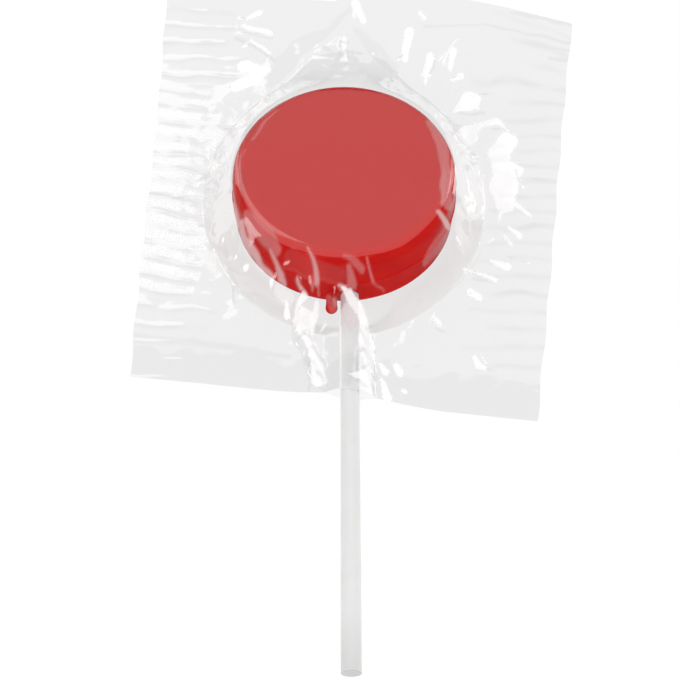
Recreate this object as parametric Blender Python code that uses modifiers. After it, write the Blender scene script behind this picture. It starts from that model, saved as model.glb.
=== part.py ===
"""A fruit lollipop in its clear wrapper, lying face up.

Three pieces: a pressed round candy with a drip beside its stick, the stick, and the
wrapper, a square bag of thin film that is crimped along two sides and gathered at the stick.
Metres, +Z up. The floor is z = 0, the candy's axis is the Z axis and the stick points along -Y.
"""

import math

import bmesh
import bpy
from mathutils.geometry import delaunay_2d_cdt

MM = 0.001
GAP = 0.3 * MM

# Candy
CANDY_RADIUS = 19.0 * MM
FACE_RADIUS = 16.8 * MM
FACE_RISE = 6.8 * MM
FACE_DOME = 0.15 * MM
FACE_DOME_SHARE = 0.6
FACE_ROUND = (2.1 * MM, 3.0 * MM)
BACK_RADIUS = 17.5 * MM
BACK_DROP = 6.4 * MM
BACK_ROUND = (1.4 * MM, 1.7 * MM)
SEAM_PROUD = 0.18 * MM
SEAM_HEIGHT = 0.8 * MM
SEAM_FLAT = 0.32 * MM
CANDY_STEPS = 64
ROUND_STEPS = 5

# Stick
STICK_RADIUS = 1.5 * MM
STICK_X = 0.9 * MM
STICK_DROP = 3.8 * MM
STICK_END_Y = -82.4 * MM
STICK_INSERT = 15.0 * MM
STICK_EDGE = 0.15 * MM
STICK_SIDES = 32

# Drip of candy beside the stick
DRIP_RADIUS = 1.0 * MM
DRIP_X = -2.1 * MM
DRIP_REACH = 3.3 * MM
DRIP_ROOT = 3.0 * MM
DRIP_NECK = 0.92
DRIP_FLARE = 1.15
DRIP_STEPS = 16

# Wrapper
FILM = 0.3 * MM
CORNER_BOTTOM_LEFT = (-34.7 * MM, -33.2 * MM)
CORNER_BOTTOM_RIGHT = (30.8 * MM, -41.0 * MM)
CORNER_TOP_RIGHT = (41.4 * MM, 34.1 * MM)
CORNER_TOP_LEFT = (-32.2 * MM, 39.3 * MM)
TOP_BOW = 2.7 * MM
TOP_BOW_START = 0.7
TOP_BOW_LEAN = 0.9
TOP_STEP = 0.435
TOP_STEP_WIDTH = 0.02
TOP_STEP_TURN = 0.2
EDGE_WAVE = 0.15 * MM
EDGE_WAVE_TURNS = 6.5
EDGE_WAVE_FADE = 6
RISE_SLOPE = 0.05
RISE_CURL = 4.2
DROOP_CURL = 2.75
SIDE_DROOP = 0.9
STICK_HUMP_WIDTH = 8.0 * MM
STICK_HUMP_START = 17.0 * MM
STICK_HUMP_FULL = 27.0 * MM
CRIMP_COUNT = 27
CRIMP_DEPTH = 0.32 * MM
CRIMP_FLAT = 0.12
CRIMP_END = 0.20
CRIMP_CLEAR = 3.0 * MM
TENT_RADIUS = 23.6 * MM
TENT_LOW_SIDE = 3.2 * MM
TENT_LOW_WIDTH = 1.1
TENT_PEAK = 7.5 * MM
TENT_PEAK_ANGLE = math.radians(88)
TENT_PEAK_WIDTH = math.radians(17)
LEAVE_FRONT = 17.9 * MM
LEAVE_BACK = 18.5 * MM
LEAVE_BACK_DRIP = 4.6 * MM
DRIP_ROOM_ANGLE = 0.4
FOLD_COUNT = 11
FINE_FOLD_COUNT = 17
FINE_FOLD_SHARE = 0.5
FOLD_SHIFT_COUNT = 3
FOLD_DEPTH = 0.55 * MM
FOLD_GROWTH = 3
TUNNEL_FLAT = 1.5 * MM
TUNNEL_REACH = 4.2 * MM
RIM_THICKNESS = 0.04 * MM
LEFT_PLEAT = ((-6.4 * MM, -19.5 * MM), (-5.2 * MM, -25.8 * MM), (-3.9 * MM, -33.8 * MM))
RIGHT_PLEAT = ((-0.6 * MM, -20.0 * MM), (2.0 * MM, -27.0 * MM), (3.4 * MM, -36.0 * MM))
PLEAT_HEIGHT = 1.3 * MM
PLEAT_WIDTH = 1.0 * MM
PLEAT_START = 19.0 * MM
PLEAT_FULL = 23.0 * MM
PLEAT_SOFTNESS = 0.5

# Spacing of the points that carry the film
CRIMP_SAMPLES = 4
BAND_COLUMNS = (0.0, 0.065, 0.13, 0.2)
FLANGE_STEP = 3.2 * MM
TUNNEL_STEPS = (1.0 * MM, 2.4 * MM)
TUNNEL_ROWS = 8
EDGE_MARGIN = 0.02
GATHER_LEFT = 8.2 * MM
RING_RADII = (7.0 * MM, 12.0 * MM, 15.6 * MM, LEAVE_FRONT, LEAVE_BACK, 19.3 * MM, 20.9 * MM)
RING_STEPS = 48
TENT_RINGS = (0.5, 1.0)

SEAM_Z = FILM + GAP + BACK_DROP
FACE_Z = SEAM_Z + FACE_RISE
STICK_Z = SEAM_Z - STICK_DROP
FRONT_FILM_Z = FACE_Z + FACE_DOME + GAP
STICK_START_Y = -CANDY_RADIUS + STICK_INSERT


def clear_scene():
    """Removes every object, so that the model is alone."""
    for obj in list(bpy.data.objects):
        bpy.data.objects.remove(obj, do_unlink=True)


def new_collection(name):
    """A collection of this name under the scene."""
    collection = bpy.data.collections.new(name)
    bpy.context.scene.collection.children.link(collection)
    return collection


def new_object(name, mesh, collection):
    """An object of this mesh in the collection."""
    obj = bpy.data.objects.new(name, mesh)
    collection.objects.link(obj)
    return obj


def material(name, colour, roughness, metallic=0.0, alpha=1.0):
    """A Principled material of one colour."""
    made = bpy.data.materials.new(name)
    made.use_nodes = True
    shader = made.node_tree.nodes["Principled BSDF"]
    shader.inputs["Base Color"].default_value = (*colour, 1.0)
    shader.inputs["Roughness"].default_value = roughness
    shader.inputs["Metallic"].default_value = metallic
    shader.inputs["Alpha"].default_value = alpha
    return made


def smooth_shading(mesh):
    """Smooth faces, with an edge kept wherever two faces meet at more than 40 degrees."""
    mesh.shade_smooth()
    mesh.set_sharp_from_angle(angle=math.radians(40))


def quarter_round(start, end, leaves_flat):
    """Points of a quarter ellipse after start and up to end, each point an (r, z) pair."""
    points = []
    for i in range(1, ROUND_STEPS + 1):
        turn = math.pi / 2 * i / ROUND_STEPS
        across, along = math.sin(turn), 1 - math.cos(turn)
        if not leaves_flat:
            across, along = along, across
        points.append((start[0] + (end[0] - start[0]) * across, start[1] + (end[1] - start[1]) * along))
    return points


def candy_profile():
    """The candy's outer side from the face's centre to the back's centre, as (r, z) pairs."""
    face_edge = (FACE_RADIUS, SEAM_Z + FACE_RISE)
    side_top = (FACE_RADIUS + FACE_ROUND[0], SEAM_Z + FACE_RISE - FACE_ROUND[1])
    side_bottom = (BACK_RADIUS + BACK_ROUND[0], SEAM_Z - BACK_DROP + BACK_ROUND[1])
    back_edge = (BACK_RADIUS, SEAM_Z - BACK_DROP)
    share = FACE_DOME_SHARE
    points = [(0.0, FACE_Z + FACE_DOME), (FACE_RADIUS * share, FACE_Z + FACE_DOME * share), face_edge]
    points += quarter_round(face_edge, side_top, leaves_flat=True)
    points += [
        (CANDY_RADIUS, SEAM_Z + SEAM_HEIGHT / 2),
        (CANDY_RADIUS + SEAM_PROUD, SEAM_Z + SEAM_FLAT / 2),
        (CANDY_RADIUS + SEAM_PROUD, SEAM_Z - SEAM_FLAT / 2),
        (CANDY_RADIUS, SEAM_Z - SEAM_HEIGHT / 2),
        side_bottom,
    ]
    points += quarter_round(side_bottom, back_edge, leaves_flat=False)
    points.append((0.0, SEAM_Z - BACK_DROP))
    return points


def turned(name, profile, steps, collection):
    """A solid turned about its own Z axis from a profile that runs from top to bottom."""
    mesh = bpy.data.meshes.new(name)
    edges = [(i, i + 1) for i in range(len(profile) - 1)]
    mesh.from_pydata([(r, 0.0, z) for r, z in profile], edges, [])
    obj = new_object(name, mesh, collection)
    screw = obj.modifiers.new("Turn", "SCREW")
    screw.axis = "Z"
    screw.angle = math.tau
    screw.steps = steps
    screw.render_steps = steps
    screw.use_merge_vertices = True
    screw.merge_threshold = 0.00001
    screw.use_smooth_shade = True
    return obj


def rod(name, radius, start_y, end_y, collection):
    """A round rod along Y at the stick's place, from start_y to the more negative end_y."""
    mesh = bpy.data.meshes.new(name)
    shape = bmesh.new()
    bmesh.ops.create_cone(
        shape,
        cap_ends=True,
        segments=STICK_SIDES,
        radius1=radius,
        radius2=radius,
        depth=start_y - end_y,
    )
    shape.to_mesh(mesh)
    shape.free()
    obj = new_object(name, mesh, collection)
    obj.location = (STICK_X, (start_y + end_y) / 2, STICK_Z)
    obj.rotation_euler = (math.pi / 2, 0.0, 0.0)
    return obj


def make_helper(obj):
    """Marks an object as a cutter or a joined shape that isn't a piece of its own."""
    obj.hide_render = True
    obj.display_type = "WIRE"


def boolean(obj, other, operation):
    """A Boolean modifier on obj with the other object."""
    modifier = obj.modifiers.new(operation.capitalize(), "BOOLEAN")
    modifier.operation = operation
    modifier.object = other
    modifier.solver = "EXACT"


def drip_profile():
    """A short stub with a domed tip at the top, as (r, z) pairs from its tip to its root."""
    tip = DRIP_RADIUS
    straight = DRIP_REACH + DRIP_ROOT - tip
    points = [(0.0, straight + tip)]
    points += quarter_round((0.0, straight + tip), (tip, straight), leaves_flat=True)
    points += [(tip * DRIP_NECK, DRIP_ROOT + tip / 2), (tip * DRIP_FLARE, 0.0), (0.0, 0.0)]
    return points


def make_candy(parts, helpers):
    """The pressed disc with its seam, joined with the drip and bored for the stick."""
    candy = turned("candy", candy_profile(), CANDY_STEPS, parts)
    drip = turned("drip", drip_profile(), DRIP_STEPS, helpers)
    drip.rotation_euler = (math.pi / 2, 0.0, 0.0)
    drip.location = (DRIP_X, -(CANDY_RADIUS - DRIP_ROOT), STICK_Z)
    make_helper(drip)
    bore = rod("stick_bore", STICK_RADIUS + GAP, STICK_START_Y + GAP, -2 * CANDY_RADIUS, helpers)
    make_helper(bore)
    boolean(candy, drip, "UNION")
    boolean(candy, bore, "DIFFERENCE")
    candy.data.materials.append(material("red_candy", (0.56, 0.035, 0.03), 0.15))
    return candy


def make_stick(parts):
    """The plain round stick, held in the candy's bore."""
    stick = rod("stick", STICK_RADIUS, STICK_START_Y, STICK_END_Y, parts)
    bevel = stick.modifiers.new("Edge", "BEVEL")
    bevel.width = STICK_EDGE
    bevel.segments = 2
    bevel.limit_method = "ANGLE"
    bevel.angle_limit = math.radians(60)
    stick.data.materials.append(material("white_stick", (0.82, 0.82, 0.81), 0.45))
    smooth_shading(stick.data)
    return stick


def clamp(value, low=0.0, high=1.0):
    """The value kept between low and high."""
    return max(low, min(high, value))


def ease(value):
    """A smooth step from 0 at 0 to 1 at 1."""
    t = clamp(value)
    return t * t * (3 - 2 * t)


def line_distance(x, y, start, end):
    """How far a point lies to the left of the line from start to end."""
    dx, dy = end[0] - start[0], end[1] - start[1]
    return (dx * (y - start[1]) - dy * (x - start[0])) / math.hypot(dx, dy)


def film_share(x, y):
    """How far across the film (left to right) and up it a point lies, each from 0 to 1."""
    left = line_distance(x, y, CORNER_TOP_LEFT, CORNER_BOTTOM_LEFT)
    right = line_distance(x, y, CORNER_BOTTOM_RIGHT, CORNER_TOP_RIGHT)
    bottom = line_distance(x, y, CORNER_BOTTOM_LEFT, CORNER_BOTTOM_RIGHT)
    top = line_distance(x, y, CORNER_TOP_RIGHT, CORNER_TOP_LEFT)
    return left / (left + right), bottom / (bottom + top)


def film_place(across, up):
    """The point at these shares of the film's width and height."""
    bottom = [a + (b - a) * across for a, b in zip(CORNER_BOTTOM_LEFT, CORNER_BOTTOM_RIGHT)]
    top = [a + (b - a) * across for a, b in zip(CORNER_TOP_LEFT, CORNER_TOP_RIGHT)]
    past_step = clamp((across - TOP_STEP) / (1 - TOP_STEP)) ** TOP_BOW_LEAN
    bow = TOP_BOW * math.sin(math.pi * (TOP_STEP_TURN + (1 - TOP_STEP_TURN) * past_step))
    bow *= ease((across - TOP_STEP + TOP_STEP_WIDTH) / TOP_STEP_WIDTH)
    bow *= ease((up - TOP_BOW_START) / (1 - TOP_BOW_START))
    wave = EDGE_WAVE * math.sin(math.tau * EDGE_WAVE_TURNS * up) * abs(2 * across - 1) ** EDGE_WAVE_FADE
    x = bottom[0] + (top[0] - bottom[0]) * up + wave
    y = bottom[1] + (top[1] - bottom[1]) * up + bow
    return x, y


def from_stick(angle):
    """How far a direction turns away from the stick's, in radians."""
    return math.remainder(angle + math.pi / 2, math.tau)


def tent_radius(angle):
    """How far from the candy's axis the two films part, which makes the pocket round the candy."""
    low_side = math.exp(-((from_stick(angle) / TENT_LOW_WIDTH) ** 2))
    peak = math.exp(-((math.remainder(angle - TENT_PEAK_ANGLE, math.tau) / TENT_PEAK_WIDTH) ** 2))
    return TENT_RADIUS + TENT_LOW_SIDE * low_side + TENT_PEAK * peak


def crimp(x, y):
    """The rows of crimp ridges in the bands along the film's left and right edges."""
    across, up = film_share(x, y)
    inward = min(across, 1 - across)
    strength = 1 - ease((inward - CRIMP_FLAT) / (CRIMP_END - CRIMP_FLAT))
    past_tent = math.hypot(x, y) - tent_radius(math.atan2(y, x))
    strength *= ease(past_tent / CRIMP_CLEAR)
    return CRIMP_DEPTH * strength * math.cos(math.tau * CRIMP_COUNT * up)


def film_middle(x, y):
    """The height of the pressed film: it droops towards the stick's side and curls up behind."""
    curl = RISE_CURL if y > 0 else -DROOP_CURL
    height = SEAM_Z + RISE_SLOPE * y + curl * y * y - SIDE_DROOP * x * x
    near_stick = math.exp(-(((x - STICK_X) / STICK_HUMP_WIDTH) ** 2))
    near_stick *= ease((-y - STICK_HUMP_START) / (STICK_HUMP_FULL - STICK_HUMP_START))
    height += (STICK_Z - height) * near_stick
    height += pleat(x, y, LEFT_PLEAT) * ease((-y - PLEAT_START) / (PLEAT_FULL - PLEAT_START))
    return max(height, FILM + CRIMP_DEPTH) + crimp(x, y)


def tent_share(x, y, leave_radius):
    """1 over the candy, falling in a straight line to 0 where the films meet."""
    radius = math.hypot(x, y)
    outer = tent_radius(math.atan2(y, x))
    return clamp((outer - radius) / (outer - leave_radius))


def tunnel_share(x, y):
    """1 over the stick, falling to 0 at each side of it, and 0 above the candy's middle."""
    side = abs(x - STICK_X)
    return clamp((TUNNEL_REACH - side) / (TUNNEL_REACH - TUNNEL_FLAT)) * (y < 0)


def pleat(x, y, path):
    """The height of a gathered fold along a path of three points."""
    nearest = 1.0
    for start, end in zip(path, path[1:]):
        dx, dy = end[0] - start[0], end[1] - start[1]
        along = clamp(((x - start[0]) * dx + (y - start[1]) * dy) / (dx * dx + dy * dy))
        nearest = min(nearest, math.hypot(x - start[0] - dx * along, y - start[1] - dy * along))
    return PLEAT_HEIGHT * math.exp(-((nearest / PLEAT_WIDTH) ** 2))


def folds(x, y, share):
    """Creases that run out from the candy's rim over the pocket."""
    angle = math.atan2(y, x)
    wave = math.sin(FOLD_COUNT * angle + math.sin(FOLD_SHIFT_COUNT * angle))
    wave += math.sin(FINE_FOLD_COUNT * angle) * FINE_FOLD_SHARE
    return FOLD_DEPTH * wave * 4 * share * (1 - share) * ease((1 - share) * FOLD_GROWTH)


def front_lift(x, y):
    """How far the inside of the front film stands above the pressed film."""
    middle = film_middle(x, y)
    share = tent_share(x, y, LEAVE_FRONT)
    over_candy = (FRONT_FILM_Z - middle) * share + folds(x, y, share)
    over_stick = (STICK_Z + STICK_RADIUS + 2 * GAP - middle) * tunnel_share(x, y)
    gathers = pleat(x, y, RIGHT_PLEAT) if math.hypot(x, y) > LEAVE_FRONT else 0.0
    gathers *= max(share, tunnel_share(x, y)) ** PLEAT_SOFTNESS
    return max(over_candy, over_stick, 0.0) + gathers


def back_drop(x, y):
    """How far the inside of the back film hangs below the pressed film."""
    middle = film_middle(x, y)
    near_drip = math.exp(-((from_stick(math.atan2(y, x)) / DRIP_ROOM_ANGLE) ** 4))
    under_candy = (middle - FILM) * tent_share(x, y, LEAVE_BACK + LEAVE_BACK_DRIP * near_drip)
    under_stick = (middle - (STICK_Z - STICK_RADIUS - 2 * GAP)) * tunnel_share(x, y)
    return max(under_candy, under_stick, 0.0)


def in_tent(x, y, margin=0.0):
    """Whether a point is over the pocket or the tunnel, or within a margin of them."""
    over_pocket = math.hypot(x, y) < tent_radius(math.atan2(y, x)) + margin
    return over_pocket or (y < 0 and gathered(x, margin))


def in_space(x, y, clear):
    """Whether a point is over the pocket or the stick's tunnel, and this clear of their edge."""
    over_pocket = math.hypot(x, y) < tent_radius(math.atan2(y, x)) - clear
    return over_pocket or (y < 0 and abs(x - STICK_X) < TUNNEL_REACH - clear)


def pocket_points():
    """Points in rings round the candy's axis, out to the line where the films meet."""
    points = [(0.0, 0.0)]
    for step in range(RING_STEPS):
        angle = math.tau * (step + 0.5) / RING_STEPS
        outer = tent_radius(angle)
        last = RING_RADII[-1]
        radii = list(RING_RADII) + [last + (outer - last) * share for share in TENT_RINGS]
        points += [(radius * math.cos(angle), radius * math.sin(angle)) for radius in radii]
    clear = TUNNEL_STEPS[0] / 2
    return [p for p in points if p[1] > -RING_RADII[-2] or not gathered(p[0], clear)]


def gathered(x, margin=0.0):
    """Whether x is in the strip beside the stick where the film is gathered, or near it."""
    return -GATHER_LEFT - margin < x - STICK_X < TUNNEL_REACH + margin


def gather_columns():
    """The x of each column of points in the gathered strip, from left to right."""
    step = TUNNEL_STEPS[0]
    first, last = -int(GATHER_LEFT / step), int(TUNNEL_REACH / step)
    offsets = [i * step for i in range(first, last + 1)] + [-TUNNEL_REACH, TUNNEL_REACH]
    return [STICK_X + offset for offset in sorted(offsets)]


def gather_shares():
    """How far across the film's bottom edge each of those columns meets it, from 0 to 1."""
    start, end = CORNER_BOTTOM_LEFT[0], CORNER_BOTTOM_RIGHT[0]
    return [(x - start) / (end - start) for x in gather_columns()]


def tunnel_points():
    """Points in columns along the stick, from the candy's rim to just short of the film's edge."""
    rows = []
    y = -RING_RADII[-2] - TUNNEL_STEPS[0]
    while y > CORNER_BOTTOM_RIGHT[1]:
        rows.append(y)
        y -= TUNNEL_STEPS[1]
    points = [(x, y) for y in rows for x in gather_columns()]
    return [p for p in points if film_share(*p)[1] > EDGE_MARGIN]


def film_outline():
    """The film's edge, anticlockwise from its bottom left corner."""
    rows = CRIMP_COUNT * CRIMP_SAMPLES
    start, end = CORNER_BOTTOM_LEFT, CORNER_BOTTOM_RIGHT
    sides = int(math.dist(start, end) / (FLANGE_STEP / 2))
    inner = [i / sides for i in range(sides) if BAND_COLUMNS[-1] < i / sides < 1 - BAND_COLUMNS[-1]]
    bands = list(BAND_COLUMNS) + [1 - column for column in BAND_COLUMNS]
    gathers = gather_shares()
    beside = [column for column in inner if not gathers[0] < column < gathers[-1]]
    bottom = [(column, 0.0) for column in sorted(bands + beside + gathers)[:-1]]
    right = [(1.0, i / rows) for i in range(rows)]
    top = [(column, 1.0) for column in sorted(bands + inner, reverse=True)[:-1]]
    left = [(0.0, 1 - i / rows) for i in range(rows)]
    return [film_place(*share) for share in bottom + right + top + left]


def flange_points():
    """Points over the pressed film: close rows in the crimped bands and a loose grid between."""
    rows = CRIMP_COUNT * CRIMP_SAMPLES
    shares = []
    for row in range(1, rows):
        for column in BAND_COLUMNS[1:]:
            shares += [(column, row / rows), (1 - column, row / rows)]
    width = math.dist(CORNER_BOTTOM_LEFT, CORNER_BOTTOM_RIGHT)
    count = int(width / FLANGE_STEP)
    for row in range(1, count):
        for column in range(1, count):
            across = column / count
            if min(across, 1 - across) > BAND_COLUMNS[-1] + 0.5 / count:
                shares.append((across, row / count))
    points = [film_place(*share) for share in shares]
    return [p for p in points if not in_tent(*p, margin=FLANGE_STEP / 3)]


def pillow(name, outline, inner, front, back, collection):
    """A closed solid between two height functions over an outline, with both sides split alike."""
    loop = list(range(len(outline)))
    made = delaunay_2d_cdt(outline + inner, [], [loop], 1, 1e-7)
    places, triangles = made[0], made[2]
    count = len(places)
    vertices = [(p[0], p[1], front(p[0], p[1])) for p in places]
    vertices += [(p[0], p[1], back(p[0], p[1])) for p in places]
    faces = [tuple(triangle) for triangle in triangles]
    faces += [tuple(index + count for index in reversed(triangle)) for triangle in triangles]
    inside = {(a, b) for t in triangles for a, b in zip(t, t[1:] + t[:1])}
    for a, b in sorted(inside):
        if (b, a) not in inside:
            faces.append((b, a, a + count, b + count))
    mesh = bpy.data.meshes.new(name)
    mesh.from_pydata(vertices, [], faces)
    shape = bmesh.new()
    shape.from_mesh(mesh)
    bmesh.ops.recalc_face_normals(shape, faces=shape.faces)
    shape.to_mesh(mesh)
    shape.free()
    return new_object(name, mesh, collection)


def front_outside(x, y):
    """The height of the front film's outer side."""
    return film_middle(x, y) + front_lift(x, y) + FILM


def back_outside(x, y):
    """The height of the back film's outer side."""
    return film_middle(x, y) - back_drop(x, y) - FILM


def front_inside(x, y):
    """The height of the front film's inner side."""
    return film_middle(x, y) + max(front_lift(x, y), RIM_THICKNESS)


def back_inside(x, y):
    """The height of the back film's inner side."""
    return film_middle(x, y) - max(back_drop(x, y), RIM_THICKNESS)


def pocket_outline(lowest_y):
    """The edge of the space inside: round the candy, and down both sides of the stick."""
    right, left = STICK_X + TUNNEL_REACH, STICK_X - TUNNEL_REACH
    points = []
    for step in range(RING_STEPS):
        angle = -math.pi / 2 + math.tau * (step + 0.5) / RING_STEPS
        radius = tent_radius(angle)
        x, y = radius * math.cos(angle), radius * math.sin(angle)
        if y > 0 or x > right + TUNNEL_STEPS[0] / 3 or x < left - TUNNEL_STEPS[0] / 3:
            points.append((x, y))
    corner = TUNNEL_REACH - abs(STICK_X)
    turn = -math.sqrt(tent_radius(-math.pi / 2) ** 2 - corner**2)
    downs = [turn + (lowest_y - turn) * i / TUNNEL_ROWS for i in range(TUNNEL_ROWS + 1)]
    return points + [(left, y) for y in downs] + [(right, y) for y in reversed(downs)]


def make_wrapper(parts, helpers):
    """The film bag: a crimped square with a pocket for the candy, open round the stick."""
    inner = pocket_points() + tunnel_points()
    points = inner + flange_points()
    wrapper = pillow("wrapper", film_outline(), points, front_outside, back_outside, parts)
    edge = [film_place(share, 0.0) for share in gather_shares()]
    beyond = [(x, y - TUNNEL_STEPS[1]) for x, y in edge]
    clear = TUNNEL_STEPS[0] / 3
    within = [p for p in inner + edge + beyond if in_space(*p, clear)]
    outline = pocket_outline(CORNER_BOTTOM_RIGHT[1] - 2 * TUNNEL_STEPS[1])
    space = pillow("pocket_space", outline, within, front_inside, back_inside, helpers)
    make_helper(space)
    boolean(wrapper, space, "DIFFERENCE")
    wrapper.data.materials.append(material("clear_film", (0.92, 0.93, 0.93), 0.1, alpha=0.3))
    return wrapper


def main():
    """Builds the lollipop."""
    clear_scene()
    parts = new_collection("fruit_lollipop")
    helpers = new_collection("joined_and_cut_shapes")
    make_candy(parts, helpers)
    make_stick(parts)
    make_wrapper(parts, helpers)


main()
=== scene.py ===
# %% [markdown]
# # A fruit lollipop in its clear wrapper
# This lesson dresses three plain solids: a flat round candy, its white stick and a square bag of
# thin clear film. The solids give the sizes and the places. What makes the picture is finer: the
# film's creases and crimped bands, the soft gloss of boiled sugar and the satin of the stick.
# The first cell loads the solids as a fixed frame.

# %% Load the frame
import math

import bmesh
import bpy
import numpy as np
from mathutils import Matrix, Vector


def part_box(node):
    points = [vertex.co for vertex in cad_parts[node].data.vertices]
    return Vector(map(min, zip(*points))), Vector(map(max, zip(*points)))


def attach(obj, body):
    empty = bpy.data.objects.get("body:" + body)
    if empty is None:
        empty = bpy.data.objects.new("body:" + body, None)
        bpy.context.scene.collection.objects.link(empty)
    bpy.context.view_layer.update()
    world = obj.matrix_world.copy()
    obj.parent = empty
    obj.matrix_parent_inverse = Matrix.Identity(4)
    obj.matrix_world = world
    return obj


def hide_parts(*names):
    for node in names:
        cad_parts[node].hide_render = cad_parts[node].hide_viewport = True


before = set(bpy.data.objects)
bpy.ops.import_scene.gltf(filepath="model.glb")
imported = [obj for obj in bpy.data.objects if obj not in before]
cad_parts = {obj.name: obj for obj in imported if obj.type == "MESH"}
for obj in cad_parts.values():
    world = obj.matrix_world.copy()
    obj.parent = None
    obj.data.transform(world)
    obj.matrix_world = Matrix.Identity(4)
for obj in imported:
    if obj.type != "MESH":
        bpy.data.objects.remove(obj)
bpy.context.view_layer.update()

# %% [markdown]
# Every size is a named value in metres.

# %% Places read from the solids
MM = 0.001
scene = bpy.context.scene
candy_low, candy_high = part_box("candy")
stick_low, stick_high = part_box("stick")
stick_radius = (stick_high.x - stick_low.x) / 2
stick_x = (stick_high.x + stick_low.x) / 2
stick_z = (stick_high.z + stick_low.z) / 2
rim_radius = candy_high.y
candy_top = candy_high.z
BACK_DROP = 6.4 * MM
seam_z = candy_low.z + BACK_DROP
print("rim radius", round(rim_radius, 5), "seam at", round(seam_z, 5), "stick at", round(stick_z, 5))

# %% [markdown]
# Two helpers serve every piece. Two more serve every material: they add a node with its
# values, and a Math node.

# %% Helpers for pieces and nodes
def new_piece(name, vertices, faces):
    """A smooth mesh object of these points and faces."""
    mesh = bpy.data.meshes.new(name)
    mesh.from_pydata(np.asarray(vertices).tolist(), [], np.asarray(faces).tolist())
    mesh.validate()
    mesh.shade_smooth()
    obj = bpy.data.objects.new(name, mesh)
    scene.collection.objects.link(obj)
    return obj


def dress(piece, node, material):
    """The piece stands for a solid of the frame and wears this material."""
    piece.data.materials.clear()
    piece.data.materials.append(material)
    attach(piece, "root")
    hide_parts(node)
    print(piece.name, "has", len(piece.data.polygons), "faces")


def add_node(tree, kind, **inputs):
    """A node with plain values on its named inputs."""
    node = tree.nodes.new(kind)
    for name, value in inputs.items():
        node.inputs[name.replace("_", " ")].default_value = value
    return node


def add_math(tree, operation, first, second):
    """The output of a Math node between an output and a number or another output."""
    node = tree.nodes.new("ShaderNodeMath")
    node.operation = operation
    tree.links.new(first, node.inputs[0])
    if isinstance(second, float):
        node.inputs[1].default_value = second
    else:
        tree.links.new(second, node.inputs[1])
    return node.outputs[0]


print("the floor is z = 0 and the candy's top is at", round(candy_top, 5))

# %% [markdown]
# ## Camera
# The lollipop lies flat and the camera looks down on it from the stick's side, 31 degrees off
# the vertical. A long lens from 23 centimetres away gives the gentle widening of the stick
# towards its end.

# %% Camera
CAMERA_PLACE = (-0.7 * MM, -136.3 * MM, 185.0 * MM)
CAMERA_TILT = math.radians(30.92)
SENSOR = 36.0
LENS = 68.82

camera_data = bpy.data.cameras.new("camera")
camera_data.sensor_fit = "HORIZONTAL"
camera_data.sensor_width = SENSOR
camera_data.lens = LENS
camera_data.clip_start = 1 * MM
camera = bpy.data.objects.new("camera", camera_data)
camera.location = CAMERA_PLACE
camera.rotation_euler = (CAMERA_TILT, 0.0, 0.0)
scene.collection.objects.link(camera)
scene.camera = camera
print("camera looks down at", round(90 - math.degrees(CAMERA_TILT), 1), "degrees above the horizon")

# %% [markdown]
# ## Light
# Clear film has almost no colour of its own. It is seen by what it mirrors and by the little
# light it keeps back, so it wants a white ground, a rather dim room and a few bright panels that
# flash in its creases. The panels are area lights. One hangs behind the lollipop, where the flat
# film mirrors it. Others stand behind it at the left and right, for the tilted facets, and low
# ones stand at the sides and in front, for the steep film round the candy. Four soft fills light
# the candy and the stick and are left out of all reflections. The room is dim for light and for
# reflections, and a Light Path node shows the camera a pale wall in its place.

# %% Lights
ROOM_GREY = 0.06
WALL_SEEN = 0.86
PANELS = {
    # name: (place, width, height, radiance, seen in reflections)
    "ceiling": ((0.0, 0.24, 0.90), 1.5, 1.25, 0.54, True),
    "left_screen": ((-0.24, 0.34, 0.62), 0.22, 0.34, 0.9, True),
    "left_panel": ((-0.46, 0.44, 0.46), 0.22, 0.30, 1.2, True),
    "right_panel": ((0.50, 0.40, 0.44), 0.22, 0.32, 1.4, True),
    "right_low": ((0.60, 0.34, 0.13), 0.20, 0.16, 2.5, True),
    "left_low": ((-0.60, -0.08, 0.19), 0.20, 0.18, 2.5, True),
    "front_low": ((-0.34, -0.62, 0.20), 0.14, 0.14, 3.0, True),
    "top_fill": ((0.0, 0.05, 1.2), 0.60, 0.60, 1.4, False),
    "front_fill": ((0.05, -0.70, 0.40), 0.60, 0.40, 4.0, False),
    "left_fill": ((-0.75, -0.15, 0.32), 0.50, 0.40, 2.5, False),
    "right_fill": ((0.75, -0.15, 0.32), 0.50, 0.40, 3.0, False),
}


def add_panel(name, place, width, height, radiance, mirrored):
    """A rectangular light that faces the candy and is as bright as radiance says."""
    light = bpy.data.lights.new(name, "AREA")
    light.shape = "RECTANGLE"
    light.size = width
    light.size_y = height
    light.energy = radiance * 4 * width * height
    obj = bpy.data.objects.new(name, light)
    obj.location = place
    obj.rotation_euler = (-Vector(place)).to_track_quat("-Z", "Y").to_euler()
    obj.visible_glossy = mirrored
    scene.collection.objects.link(obj)
    return obj


for panel, values in PANELS.items():
    add_panel(panel, *values)
world = bpy.data.worlds.new("room")
world.use_nodes = True
seen = add_node(world.node_tree, "ShaderNodeMapRange", To_Min=ROOM_GREY, To_Max=WALL_SEEN)
world_ray = world.node_tree.nodes.new("ShaderNodeLightPath")
world.node_tree.links.new(world_ray.outputs["Is Camera Ray"], seen.inputs["Value"])
backdrop = world.node_tree.nodes["Background"]
backdrop.inputs["Color"].default_value = (1.0, 1.0, 1.0, 1.0)
world.node_tree.links.new(seen.outputs["Result"], backdrop.inputs["Strength"])
scene.world = world
scene.view_settings.view_transform = "Standard"
scene.view_settings.look = "None"
scene.cycles.transparent_max_bounces = 24
print("panels:", ", ".join(PANELS))

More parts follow.
